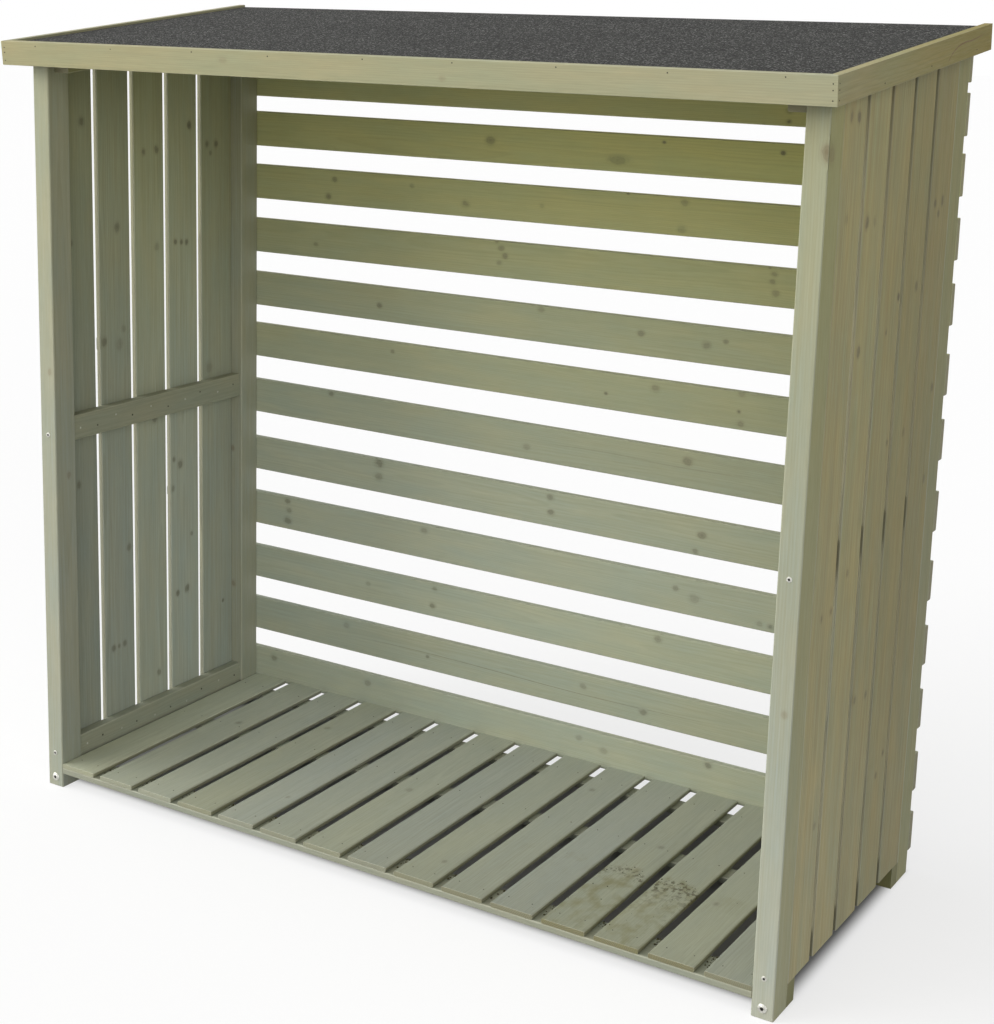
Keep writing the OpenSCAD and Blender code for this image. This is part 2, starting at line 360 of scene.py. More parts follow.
plywood = stainedPlywood()
felt = mineralFelt()
screwZinc = platedSteel("zincPlatedScrew", "#a9a89f", "#d6d5cd", 1.0, 0.3, 0.5)
galvanisedNail = platedSteel("galvanisedWireNail", "#a3a397", "#cfcfc4", 0.25, 0.45, 0.6)
brownedNail = platedSteel("brownedPanelPin", "#2e2a20", "#4b4435", 0.5, 0.55, 0.7)
# the screws' star recesses take a near-black metal, as painted shade
recessShade = platedSteel("screwRecessShade", "#1c1b18", "#35332d", 0.6, 0.5, 0.65)
print("finishes made")


timberCut = {
    "arrisRound": 0.7 * mm,      # planed timber's softened edges
    "planed": 0.5 * mm,          # taken off a face that gets pins, so that they stay inside the rack's box
    "shelter": 0.78,             # painted warm light under the roof: its warmth, and the heights in metres between which it comes in
    "shelterFrom": 0.5,          # in metres between which it comes in
    "shelterTo": 1.65,
    "washedBelow": 0.7,          # painted cool sky light: the stain is painted paler and cooler near the ground
    "washedLight": 1.2,
    "washedWarm": -0.25,
    "warmest": 1.5,
    "levels": (0.3, 0.5, 0.7, 0.9, 1.1, 1.35),     # where upright planks are cut across, for their tones
    "plankSpread": 0.32,         # how much planks differ in lightness
    "warmSpread": 0.14,
    # dirt by the distance in mm from a slat's front end, and where slats are cut along for it
    "dirtRows": ((0, 0.65), (9, 0.6), (24, 0.5), (60, 0.55), (110, 0.75), (170, 0.7), (215, 0.8),
                 (235, 1.0), (256, 0.9), (275, 0.1), (300, 0.0)),
    "dirtColumns": (-0.6, -0.2, 0.2, 0.6),
    "dirtBow": 26 * mm,          # how far the dirt's rear edge bows back in the middle of a slat
}
plainTone = {
    "light": 0.0, "warm": 0.0,              # a step in lightness is a fifth of the colour; warmth is a share
    "rearLight": 0.0, "rearWarm": 0.0,      # what is added from the front of the rack to its back
    "rightLight": 0.0, "rightWarm": 0.0,    # and from its left to its right
    "shelter": 1.0, "washed": 0.0,          # how much of the painted warm light under the roof and of the painted cool light near the ground shows
    "dirt": 0.0, "ends": 1.0,               # how much dirt and stained end grain a plank has
}
planks = {}                      # each node's planks, with their axes, for knots, nails and screws


def mergedCopy(node):
    # a bmesh of a node with its triangles joined into flat faces
    bm = bmesh.new()
    bm.from_mesh(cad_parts[node].data)
    bmesh.ops.remove_doubles(bm, verts=bm.verts, dist=0.01 * mm)
    bmesh.ops.dissolve_limit(bm, angle_limit=math.radians(0.5), verts=bm.verts, edges=bm.edges)
    return bm


def splitPlanks(node):
    # one bmesh for each separate plank of a node
    bm = mergedCopy(node)
    left = set(bm.verts)
    parts = []
    while left:
        seed = left.pop()
        island, queue = {seed}, [seed]
        while queue:
            for edge in queue.pop().link_edges:
                for vert in edge.verts:
                    if vert not in island:
                        island.add(vert)
                        queue.append(vert)
        left -= island
        part = bm.copy()
        keep = {v.index for v in island}
        part.verts.ensure_lookup_table()
        bmesh.ops.delete(part, geom=[v for v in part.verts if v.index not in keep], context="VERTS")
        parts.append(part)
    bm.free()
    return parts


def measurePlank(bm, rnd):
    # a plank's own axes: along its grain, across its face and out of it
    edges = sorted(bm.edges, key=lambda e: -e.calc_length())
    along = (edges[0].verts[1].co - edges[0].verts[0].co).normalized()
    if max(along, key=abs) < 0:
        along = -along
    across = Vector()
    for edge in edges:
        ray = edge.verts[1].co - edge.verts[0].co
        if abs(ray.normalized().dot(along)) < 0.2:
            across = (ray - along * ray.dot(along)).normalized()
            break
    if max(across, key=abs) < 0:
        across = -across
    out = along.cross(across)
    spans = [[v.co.dot(axis) for v in bm.verts] for axis in (along, across, out)]
    half = [(max(s) - min(s)) / 2 for s in spans]
    centre = sum((axis * (max(s) + min(s)) / 2 for axis, s in zip((along, across, out), spans)), Vector())
    heart = (rnd.uniform(2, 90), rnd.uniform(-1.1, 1.1) * half[1],
             rnd.choice((-1, 1)) * (half[2] + rnd.uniform(8, 45) * mm))
    return {"axes": (along, across, out), "half": half, "centre": centre, "heart": heart}


def grainAt(plank, point):
    # where a point lies in the tree the plank was cut from
    offset = point - plank["centre"]
    return Vector([offset.dot(axis) + shift for axis, shift in zip(plank["axes"], plank["heart"])])


def smooth(x):
    x = min(1.0, max(0.0, x))
    return x * x * (3 - 2 * x)


def toneAt(plank, point):
    # lightness, warmth and dirt of a plank at a point, with painted warm light under the roof and painted cool
    # light near the ground
    right, rear, _ = [(v - low) / (high - low) for v, low, high in zip(point, cadLow, cadHigh)]
    rise = (point.z - timberCut["shelterFrom"]) / (timberCut["shelterTo"] - timberCut["shelterFrom"])
    sheltered = timberCut["shelter"] * plank["shelter"] * smooth(rise)
    washed = plank["washed"] * smooth(1 - point.z / timberCut["washedBelow"])
    light = plank["light"] + plank["rightLight"] * right + plank["rearLight"] * rear
    warm = plank["warm"] + plank["rightWarm"] * right + plank["rearWarm"] * rear + sheltered
    dirt = 0.0
    if plank["dirt"]:
        aside = (point.x - plank["centre"].x) / plank["half"][1]
        bow = timberCut["dirtBow"] * (1 - aside * aside)
        behind = max(0, (point.y - plank["centre"].y + plank["half"][0] - bow) / mm)
        for (near, less), (far, more) in zip(timberCut["dirtRows"], timberCut["dirtRows"][1:]):
            if near <= behind <= far:
                dirt = less + (more - less) * (behind - near) / (far - near)
    return Vector((light + timberCut["washedLight"] * washed,
                   min(timberCut["warmest"], max(0.0, warm + timberCut["washedWarm"] * washed)),
                   plank["dirt"] * dirt))


def facedTone(plank, outward):
    # what a face adds whose own lightness and warmth are painted light and shade
    if plank["faced"] and outward.dot(plank["faced"][0]) > 0.9:
        return Vector((*plank["faced"][1:], 0))
    return Vector()


def planeDown(bm, way):
    # planes the face that looks that way down a little, to take pins
    reach = max(v.co.dot(way) for v in bm.verts)
    for vert in bm.verts:
        if vert.co.dot(way) > reach - 0.1 * mm:
            vert.co -= way * timberCut["planed"]


def cutAcross(bm, plank):
    # cuts across an upright plank and a dirty one, so that tones can change along them
    cuts = []
    if plank["axes"][0].z > 0.9:
        cuts = [(Vector((0, 0, level)), up) for level in timberCut["levels"]]
    if plank["dirt"]:
        front = plank["centre"] - plank["axes"][0] * plank["half"][0]
        cuts = [(front + Vector((0, behind * mm, 0)), -forward) for behind, dirt in timberCut["dirtRows"][1:]]
        cuts += [(front + Vector((aside * plank["half"][1], 0, 0)), outOf["right"])
                 for aside in timberCut["dirtColumns"]]
    for place, way in cuts:
        bmesh.ops.bisect_plane(bm, geom=bm.verts[:] + bm.edges[:] + bm.faces[:], plane_co=place, plane_no=way)


def cutTimber(node, material, slotName, gapShade=0.0, gapShadeFade=0.0, planed=None, faced=None, **tones):
    # A tone is one number or one for each plank. The gap shade darkens a plank's narrow edges with the end-grain
    # colour as painted shade in the gaps between planks, and its fade takes that share of it away towards the
    # roof. planed is the way out of a face that takes pins, and the face shading the way out of a face whose own
    # lightness and warmth are painted light and shade.
    rnd = random.Random(node)
    parts = splitPlanks(node)
    if planed:
        for bm in parts:
            planeDown(bm, planed)
    parts = [(measurePlank(bm, rnd), bm) for bm in parts]
    parts.sort(key=lambda p: (round(p[0]["centre"].x, 3), round(p[0]["centre"].y, 3)))
    planks[node] = [plank for plank, bm in parts]
    for index, (plank, bm) in enumerate(parts):
        for tone, value in {**plainTone, **tones}.items():
            plank[tone] = value[index] if isinstance(value, list) else value
        plank["light"] += rnd.uniform(-1, 1) * timberCut["plankSpread"]
        plank["warm"] += rnd.uniform(-1, 1) * timberCut["warmSpread"]
        plank.update(material=material, slot=slotName, faced=faced)
        cutAcross(bm, plank)
        sharp = [e for e in bm.edges if len(e.link_faces) == 2 and e.calc_face_angle(0) > math.radians(20)]
        bmesh.ops.bevel(bm, geom=sharp, offset=timberCut["arrisRound"], offset_type="OFFSET",
                        segments=2, profile=0.5, affect="EDGES", material=-1, clamp_overlap=True)
        grain, tone = pointLayers(bm, "grain", "tone")
        arris = bm.faces.layers.float.new("arris")
        cutEnd = bm.faces.layers.float.new("cutEnd")
        for vert in bm.verts:
            vert[grain] = grainAt(plank, vert.co)
            vert[tone] = toneAt(plank, vert.co)
        if faced:
            for vert in {v for f in bm.faces if f.normal.dot(faced[0]) > 0.9 for v in f.verts}:
                vert[tone] += facedTone(plank, faced[0])
        for face in bm.faces:
            along, across, out = [abs(face.normal.dot(axis)) for axis in plank["axes"]]
            rise = min(1.0, face.calc_center_median().z / timberCut["shelterTo"])
            # narrow edges take the end-grain colour as painted shade in the gaps between planks, less of it
            # towards the roof
            narrow = gapShade * (1 - gapShadeFade * rise) if across > 0.8 else 0.0
            face[cutEnd] = plank["ends"] if along > 0.8 else narrow
            face[arris] = 0.0 if max(along, across, out) > 0.94 else 1.0
            face.smooth = True
    piece = joinedPiece(node + "_timber", [bm for plank, bm in parts], material)
    piece.modifiers.new("flatFaces", "WEIGHTED_NORMAL").keep_sharp = True
    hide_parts(node)


# each post face that is painted darker as painted shade, with its own warmth: its way out, lightness and warmth
postFaceShading = {"front_post_left": (outOf["right"], -0.2, -0.1), "front_post_right": (outOf["right"], -0.2, 0.45),
             "rear_post_right": (outOf["right"], -1.5, 0.7)}
for side in sides:
    for node in ("front_post_", "rear_post_"):
        cutTimber(node + side, frameWood, "stained_frame_wood", light=0.2, warm=0.08, shelter=0.4,
                  washed=0.8 if side == "right" else 0.0, faced=postFaceShading.get(node + side))
    for node in ("front_foot_", "rear_foot_"):
        cutTimber(node + side, railWood, "stained_rail_wood", light=-2.2, warm=1.1 if side == "right" else 0.3)
    for node in ("bottom_rail_", "mid_rail_", "top_rail_", "roof_batten_"):
        cutTimber(node + side, railWood, "stained_rail_wood")
# the front board of the left wall is painted darker, as a painted shadow of the front post
cutTimber("side_boards_left", leftWood, "stained_board_wood", light=[-1.1, 0.0, 0.9, 0.9, -0.2],
          warm=[0.02, 0.02, 0.02, 0.1, 0.2], shelter=0.75, washed=0.3, gapShade=0.75)
# the right wall's outer face is painted warmer, as painted shade
cutTimber("side_boards_right", boardWood, "stained_board_wood", light=[-0.3, -0.3, -0.95, -1.05, -1.8],
          warm=[0.05, 0.08, 0.2, 0.2, 0.4], shelter=0.2, washed=0.9, gapShade=1.0, gapShadeFade=0.6,
          faced=(outOf["right"], 0.0, 0.4))
cutTimber("fascia_front", fasciaWood, "stained_frame_wood", warm=0.45, rightWarm=-0.25, shelter=0.0)
cutTimber("fascia_left", fasciaWood, "stained_frame_wood", warm=0.4, shelter=0.0, planed=outOf["left"])
cutTimber("fascia_right", fasciaWood, "stained_frame_wood", light=-0.5, rearLight=-1.7, warm=0.75, rearWarm=0.75,
          shelter=0.0, planed=outOf["right"])
backTones = {                    # lowest board first
    "light": [0.8, 0.45, 0.8, 1.05, 0.45, 0.7, 0.8, 0.4, 0.35, 1.1, 1.6, 1.35, 0.5],
    "rightLight": [-0.95, -1.1, -0.9, -1.1, -1.1, -1.5, -1.2, -0.5, 0.0, 0.0, 1.0, 0.0, 0.0],
    "warm": [0.0, 0.0, 0.0, 0.0, 0.0, 0.0, 0.0, 0.0, 0.15, 0.25, 0.1, 0.0, 0.0],
}
backBoards = ["back_board_%d" % (i + 1) for i in range(13)]
for i, node in enumerate(backBoards):
    # each back board's top face is painted lighter, as painted light where the roof shades it
    cutTimber(node, backWood, "stained_board_wood", rightWarm=0.3, faced=(up, 1.2, 0.0),
              **{tone: values[i] for tone, values in backTones.items()})
battens = ("floor_batten_front", "floor_batten_middle", "floor_batten_rear")
for node in battens:
    cutTimber(node, railWood, "stained_rail_wood", light=-0.3)
slatTones = {                    # leftmost slat first; the slats by the left wall are painted lighter, as painted light where the wall shades them
    "light": [0.5, 0.2, -0.3, -0.5, -0.2, -0.5, -0.7, -0.95, -0.6, -0.6, -0.7, -0.95, -1.3, -0.8, -1.1],
    "dirt": [0.5, 0.4, 0.35, 0.35, 0.4, 0.45, 0.5, 0.5, 0.55, 0.6, 0.7, 1.6, 1.85, 0.65, 0.6],
    "ends": [0.5, 0.45, 0.4, 0.55, 0.5, 0.55, 0.5, 0.5, 0.65, 0.8, 0.85, 1.0, 1.0, 1.0, 0.8],
}
cutTimber("floor_slats", floorWood, "stained_floor_wood", rearLight=1.75, rightLight=-0.5, warm=0.2,
          rearWarm=-0.2, shelter=0.0, gapShade=0.6, **slatTones)
print("timber cut:", sum(len(p) for p in planks.values()), "planks")


def plyDeck():
    bm = mergedCopy("roof_deck")
    deck = measurePlank(bm, random.Random("deck"))
    bmesh.ops.bevel(bm, geom=bm.edges[:], offset=0.3 * mm, offset_type="OFFSET", segments=1,
                    profile=0.5, affect="EDGES", material=-1)
    grain = pointLayers(bm, "grain")[0]
    plyEdge = bm.faces.layers.float.new("plyEdge")
    for vert in bm.verts:
        vert[grain] = grainAt(deck, vert.co)
    for face in bm.faces:
        face[plyEdge] = 0.0 if abs(face.normal.dot(deck["axes"][2])) > 0.9 else 1.0
    piece = newPiece("roof_deck_plywood", bm, plywood)
    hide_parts("roof_deck")


plyDeck()
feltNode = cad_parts["roof_felt"]
feltNode.material_slots[0].material = felt
print("roof laid")


def faceOf(plank, normal):
    # a plank's face that looks along normal: its middle, its outward axis and half its width
    axes, half = plank["axes"], plank["half"]
    k = max(range(3), key=lambda i: abs(axes[i].dot(normal)))
    outward = axes[k] * (1 if axes[k].dot(normal) > 0 else -1)
    other = 1 if k == 2 else 2
    return plank["centre"] + outward * half[k], outward, axes[other], half[other]


knotForm = {
    "reach": 2.6,            # how far the bent grain reaches, in knot radii
    "rise": 0.25 * mm,       # a knot stands a little proud of the planed wood around it
    "sink": 0.05 * mm,       # the patch's rim lies this far under the face
    "bend": 0.7,             # how far the grain is pushed aside at the middle
    "thrown": 0.12,          # how much a knot differs in size from face to face
    "rings": (0.3, 0.2, 0.16, 0.14),      # its rings, from the rim in
    "behind": (0.9, 0.85),   # size and darkness on a board's rear face
    "streakRise": 0.6,       # a streak stands less proud
}


def growKnots(name, spots):
    # spots are (plank, normal, along, across, radius, stretch, darkness); each is a low dome of
    # the plank's own wood, cut off at the plank's edges
    rnd = random.Random(name)
    domes = []
    for plank, normal, along, across, radius, stretch, dark in spots:
        middle, outward, other, halfWidth = faceOf(plank, normal)
        radius *= 1 + knotForm["thrown"] * rnd.uniform(-1, 1)
        wide = radius * knotForm["reach"]
        bm = bmesh.new()
        bmesh.ops.create_circle(bm, cap_ends=True, segments=18, radius=1)
        for ring in knotForm["rings"]:
            bmesh.ops.inset_individual(bm, faces=[f for f in bm.faces if len(f.verts) > 4], thickness=ring)
        bmesh.ops.poke(bm, faces=[f for f in bm.faces if len(f.verts) > 4])
        oval = Matrix.Translation((along, across, 0)) @ Matrix.Diagonal((wide * stretch, wide, 1, 1))
        bmesh.ops.transform(bm, verts=bm.verts, matrix=oval)
        for axis, limit in ((Vector((1, 0, 0)), plank["half"][0]), (Vector((0, 1, 0)), halfWidth)):
            for way in (-1, 1):
                edge = axis * way * (limit - timberCut["arrisRound"])
                bmesh.ops.bisect_plane(bm, geom=bm.verts[:] + bm.edges[:] + bm.faces[:], plane_co=edge,
                                       plane_no=axis * way, clear_outer=True)
        grain, tone, knot = pointLayers(bm, "grain", "tone", "knot")
        heart = middle + plank["axes"][0] * along + other * across
        for vert in bm.verts:
            u, v = vert.co.x - along, vert.co.y - across
            near = max(0.0, 1 - math.hypot(u / (wide * stretch), v / wide))
            away = plank["axes"][0] * u + other * v
            height = knotForm["rise"] * near * (2 - near) - knotForm["sink"]
            vert.co = heart + away + outward * height
            vert[grain] = grainAt(plank, heart + away * (1 - knotForm["bend"] * near ** 1.5))
            vert[tone] = toneAt(plank, heart) + facedTone(plank, outward)
            vert[knot] = (near, dark, 0)
        for face in bm.faces:
            face.smooth = True
        if bm.faces and sum((f.normal for f in bm.faces), Vector()).dot(outward) < 0:
            bmesh.ops.reverse_faces(bm, faces=bm.faces)
        domes.append(bm)
    joinedPiece(name, domes, spots[0][0]["material"])


# Knots are placed one by one. A row is (board, place along it, place across it, radius, darkness), in mm,
# and may end with the stretch along the grain. Upright boards count from the front and measure from the
# ground, back boards count from the lowest and measure from the middle, slats from their front end.
knotRows = {
    "side_board_knots_right": [
        (0, 1544, -20, 6, 0.6), (0, 1540, 14, 6.5, 0.7), (0, 1379, -14, 5, 0.25), (0, 702, 38, 5, 0.55),
        (0, 700, -6, 4, 0.4), (0, 312, 27, 4.5, 0.4), (1, 1364, -30, 6, 0.7), (1, 1362, 6, 5, 0.3),
        (1, 1146, -30, 6.5, 0.7), (1, 752, -7, 4.5, 0.5), (2, 1216, 42, 5, 0.85), (2, 1160, -11, 4, 0.6),
        (2, 954, 36, 4.5, 0.5), (2, 493, -38, 5, 0.5), (2, 484, 20, 4.5, 0.5), (3, 1223, 20, 5, 0.6),
        (3, 956, 8, 6, 0.35), (3, 329, 29, 4, 0.6), (3, 294, -3, 4, 0.5), (4, 1366, -28, 4.5, 0.7),
        (4, 1368, 12, 5, 0.65), (4, 1346, -6, 4, 0.6), (4, 1015, 36, 6, 0.55), (4, 839, 30, 5.5, 0.5)],
    "side_board_knots_left": [
        (0, 1444, 17, 5.5, 0.8), (0, 661, -10, 5, 0.55), (0, 1190, -20, 4, 0.5), (1, 1211, 8, 7, 0.6),
        (1, 965, -39, 6, 0.7), (1, 952, 12, 9, 0.3), (1, 985, 26, 6, 0.3), (1, 481, 34, 5, 0.5),
        (1, 255, -22, 5, 0.65), (1, 256, -4, 3, 0.55), (1, 257, 15, 5, 0.6), (2, 1368, -18, 4.5, 0.7),
        (2, 1371, 25, 5, 0.7), (2, 1156, 24, 6, 0.35), (2, 764, 10, 7, 0.6), (2, 152, 18, 5, 0.6),
        (3, 1419, 23, 6, 0.8), (3, 1160, -27, 4, 0.8), (3, 1157, -6, 3.5, 0.75), (3, 1155, 12, 4.5, 0.75),
        (3, 654, -38, 4, 0.65), (3, 638, -16, 6, 0.7), (3, 585, -42, 5, 0.5), (3, 462, 24, 3.5, 0.6),
        (3, 327, -28, 5, 0.75), (3, 330, 6, 5.5, 0.7), (4, 1373, -34, 5, 0.7), (4, 1372, -2, 5, 0.75),
        (4, 1352, -22, 3.5, 0.6), (4, 264, 20, 3, 0.8), (4, 852, -30, 8, 0.35)],
    "back_board_knots": [
        (11, -173, 7, 7, 0.6), (10, -585, 18, 4.5, 0.6), (10, -602, -21, 5, 0.7), (10, -373, 18, 4, 0.45),
        (10, -232, -12, 6, 0.6), (9, -636, -8, 4, 0.5), (9, -149, 40, 4, 0.6), (9, -138, 25, 4.5, 0.5),
        (9, -128, 8, 4.5, 0.6), (9, -142, -8, 4.5, 0.5), (11, 135, -15, 6.5, 0.5, 2.4), (11, 239, 27, 2.5, 0.9),
        (10, 163, 40, 2.5, 0.9), (10, -41, -2, 4, 0.35), (10, 292, 29, 6, 0.45), (10, 287, -26, 6, 0.4),
        (9, 483, 40, 2.5, 0.9), (9, 493, 27, 5, 0.5), (9, 491, 10, 4, 0.5), (9, 498, -12, 5.5, 0.45),
        (7, 130, -5, 2.5, 0.8), (7, 438, 36, 5, 0.35), (4, 364, 43, 2.5, 0.8), (4, 506, -25, 4.5, 0.35),
        (3, 191, 41, 2.5, 0.7), (2, 103, 12, 5.5, 0.4), (2, 357, 43, 2.5, 0.6), (1, 98, 18, 5, 0.35),
        (1, 160, 2, 6, 0.35), (8, -455, -4, 4.5, 0.7), (8, -35, 32, 5, 0.4), (8, 206, 8, 4.5, 0.55),
        (8, 355, 0, 6, 0.5), (8, 397, 12, 4, 0.5), (7, -417, 18, 3.5, 0.6), (7, 244, 21, 6, 0.5),
        (7, 434, -2, 3, 0.9), (7, 439, -27, 4.5, 0.5), (6, -589, 34, 5, 0.6), (6, 327, 18, 6, 0.55),
        (5, -450, 30, 6.5, 0.65), (5, -451, -2, 6.5, 0.45), (4, -714, 30, 4.5, 0.6), (4, -711, 8, 5, 0.5),
        (4, -713, -19, 6, 0.6), (4, -322, 27, 5.5, 0.5), (5, 4, 27, 6, 0.55), (5, 7, -8, 5.5, 0.65),
        (5, 367, 6, 6.5, 0.6), (5, 354, -31, 5, 0.55), (3, -476, 4, 4, 0.35), (3, -290, 28, 5, 0.5),
        (3, -295, -13, 4.5, 0.7), (2, -536, 22, 5, 0.4), (2, -305, -7, 3, 0.6), (1, -754, 20, 6, 0.55),
        (1, -472, 18, 6, 0.45), (4, 313, 14, 4.5, 0.5), (4, 358, -1, 7, 0.35), (4, 530, -27, 4, 0.7),
        (3, 279, 26, 6.5, 0.5), (2, 251, -13, 6, 0.6), (1, 409, 31, 5, 0.65), (12, -280, 10, 6, 0.5),
        (12, 505, -8, 5.5, 0.5), (12, 504, -31, 3, 0.9), (11, 497, 21, 3.2, 0.95), (6, -60, -12, 5, 0.35),
        (13, -90, 5, 6, 0.5)],
    "floor_slat_knots": [
        (1, 410, 12, 5, 0.45), (3, 505, -20, 5, 0.4), (4, 150, 22, 4, 0.35), (6, 330, -8, 5, 0.4),
        (8, 90, 15, 4.5, 0.45), (9, 560, -16, 5.5, 0.4), (11, 395, 8, 5, 0.4), (13, 240, -20, 5, 0.45)],
}


def throughBoard(plank, normal, along, across, radius, dark, stretch=1.25):
    # a knot shows on both faces of a thin board, paler and a little to one side behind
    slip = 0.15 * across + 2 * mm
    less, paler = knotForm["behind"]
    return [(plank, normal, along, across, radius, stretch, dark),
            (plank, -normal, along + slip, across, radius * less, stretch, dark * paler)]


knotBoards = {                   # the boards that rows count, the face that shows, and where places start
    "side_board_knots_right": (planks["side_boards_right"], outOf["right"], lambda plank: plank["centre"].z),
    "side_board_knots_left": (planks["side_boards_left"], outOf["right"], lambda plank: plank["centre"].z),
    "back_board_knots": ([None] + [planks[node][0] for node in backBoards], forward, lambda plank: 0.0),
    "floor_slat_knots": (planks["floor_slats"], up, lambda plank: plank["half"][0]),
}
for name, rows in knotRows.items():
    boards, shown, start = knotBoards[name]
    spots = []
    for board, place, across, radius, dark, *stretch in rows:
        plank = boards[board]
        spots += throughBoard(plank, shown, place * mm - start(plank), across * mm, radius * mm, dark, *stretch)
    growKnots(name, spots)

# one big knot on the right front post's outer arris, and small ones on the other posts
postKnots = [
    ("front_post_right", forward, 1490, -18, 8, 0.6), ("front_post_right", outOf["right"], 1488, -20, 9, 0.45),
    ("front_post_right", outOf["left"], 914, 6, 2.5, 0.9), ("front_post_right", outOf["left"], 834, 25, 5, 0.4),
    ("front_post_right", forward, 560, -6, 4, 0.3), ("front_post_left", outOf["right"], 700, 8, 5, 0.4),
    ("front_post_left", forward, 930, -8, 4, 0.35), ("rear_post_left", forward, 640, 6, 4, 0.5),
    ("rear_post_left", forward, 300, 4, 4.5, 0.5), ("rear_post_right", -forward, 1050, 5, 6, 0.5),
    ("rear_post_left", -forward, 780, -6, 6, 0.5), ("rear_post_left", outOf["left"], 1200, 4, 5, 0.4)]
spots = []
for node, normal, height, across, radius, dark in postKnots:
    plank = planks[node][0]
    spots.append((plank, normal, height * mm - plank["centre"].z, across * mm, radius * mm, 1.3, dark))
growKnots("post_knots", spots)

# small knots along the fascias
spots = [(planks["fascia_front"][0], forward, -0.31, 6 * mm, 5 * mm, 1.4, 0.2),
         (planks["fascia_front"][0], forward, 0.17, -9 * mm, 4 * mm, 1.4, 0.2),
         (planks["fascia_left"][0], outOf["left"], -0.1, 5 * mm, 5 * mm, 1.5, 0.45)]
growKnots("fascia_knots", spots)


def drawStreak(name, plank, normal, path, width, dark):
    # a dark line in the wood: a strip that follows path, given as (along, across), and fades
    # to the plank's own look at its edges and ends
    middle, outward, other, _ = faceOf(plank, normal)
    bm = bmesh.new()
    grain, tone, knot = pointLayers(bm, "grain", "tone", "knot")
    rows = []
    for index, (along, across) in enumerate(path):
        fade = math.sin(math.pi * (index + 0.5) / len(path)) ** 0.5
        row = []
        for part, near in ((-1, 0.0), (0, 1.0), (1, 0.0)):
            point = middle + plank["axes"][0] * along + other * (across + part * width / 2)
            height = knotForm["rise"] * near * knotForm["streakRise"] - knotForm["sink"]
            vert = bm.verts.new(point + outward * height)
            vert[grain] = grainAt(plank, point)
            vert[tone] = toneAt(plank, point)
            vert[knot] = (near * fade, dark, 0)
            row.append(vert)
        rows.append([bm.edges.new(pair) for pair in zip(row, row[1:])])
    for lower, higher in zip(rows, rows[1:]):
        bmesh.ops.bridge_loops(bm, edges=lower + higher)
    for face in bm.faces:
        face.smooth = True
        if face.normal.dot(outward) < 0:
            face.normal_flip()
    newPiece(name, bm, plank["material"])


def waveAlong(start, end, across, drop, wander, steps):
    # a path between two places along a plank, across it by a gentle wave
    path = []
    for i in range(steps + 1):
        t = i / steps
        path.append((start + (end - start) * t, across + drop * smooth(t) + wander * math.sin(7 * t)))
    return path


resinPath = [(0.135, -0.021), (0.141, -0.016), (0.149, -0.011), (0.159, -0.006), (0.173, -0.001), (0.19, 0.003),
             (0.212, 0.006), (0.238, 0.007), (0.265, 0.006), (0.292, 0.007), (0.32, 0.009), (0.346, 0.011)]
drawStreak("fascia_resin_streak", planks["fascia_right"][0], outOf["right"], resinPath, 5 * mm, 0.85)
drawStreak("back_board_2_streak", planks["back_board_2"][0], forward,
           waveAlong(-0.53, 0.42, -1 * mm, -4 * mm, 3 * mm, 24), 4 * mm, 0.45)
drawStreak("back_board_6_streak", planks["back_board_6"][0], forward,
           waveAlong(-0.02, 0.52, 2 * mm, 5 * mm, 4 * mm, 20), 5 * mm, 0.2)
print("knots grown")


def loftRings(bm, rings, segments):
    # a closed head from its rings, given as (radius, lobes, height); the last ring is the recess's floor
    loops = []
    for radius, lobes, height in rings:
        ring = bmesh.ops.create_circle(bm, segments=segments, radius=radius)["verts"]
        for vert in ring:
            turn = math.atan2(vert.co.y, vert.co.x)
            vert.co *= 1 + lobes * math.cos(6 * turn)
            vert.co.z = height
        loops.append(ring)
    for lower, upper in zip(loops, loops[1:]):
        edges = {e for v in lower + upper for e in v.link_edges if len(e.link_faces) < 2
                 and (set(e.verts) <= set(lower) or set(e.verts) <= set(upper))}
        walls = bmesh.ops.bridge_loops(bm, edges=list(edges))["faces"]
    for face in walls + bmesh.ops.contextual_create(bm, geom=loops[-1])["faces"]:
        face.material_index = 1
    return [v for loop in loops for v in loop]


def pinAt(bm, point, normal, shape):
    # stands a shape that points up at the origin on a face
    turn = up.rotation_difference(normal).to_matrix().to_4x4()
    bmesh.ops.transform(bm, matrix=Matrix.Translation(point) @ turn, verts=shape)


nailKit = {
    "headRadius": 2.6 * mm,
    "headRise": 0.4 * mm,
    "headTop": 0.72,             # a head's top against its rim
    "jitter": 3 * mm,            # how far a nail strays from its row
    "boardRows": 0.27,           # nails in an upright board, as a share of its width from its middle
    "backEnd": 21 * mm,          # a back board's nails, from its end
    "backAcross": 20 * mm,       # and from its middle
    "slatAcross": 26 * mm,
    "corner": 8 * mm,            # pins at the fascia's corners, from its end,
    "cornerRows": (11 * mm, 1 * mm, -15 * mm),     # and from its middle
    "upstandPins": 9,            # they hold the felt's upstand to the front fascia,
    "upstandEnd": 90 * mm,       # from this far from its ends,
    "upstandHigh": 17 * mm,      # this far above its middle
    "sidePins": (-0.18, 0.05, 0.3),                # along the side fascias, from their middle
    "sideLow": -14 * mm,
    "battenAcross": 9 * mm,      # pins in the roof battens' front ends
}


def sway(rnd, reach):
    return rnd.uniform(-1, 1) * reach


def driveNails(name, material, spots, size=1.0):
    # spots are (point on the face, its normal)
    rnd = random.Random(name)
    bm = bmesh.new()
    for point, normal in spots:
        radius = nailKit["headRadius"] * size * rnd.uniform(0.85, 1.1)
        made = bmesh.ops.create_cone(bm, cap_ends=True, cap_tris=False, segments=8, radius1=radius,
                                     radius2=radius * nailKit["headTop"], depth=nailKit["headRise"] * 2)
        pinAt(bm, point, normal, made["verts"])
    newPiece(name, bm, material)


def onFace(plank, normal, along, across):
    # a point on a plank's face, from its middle, and the face's normal
    middle, outward, other, _ = faceOf(plank, normal)
    return middle + plank["axes"][0] * along + other * across, outward


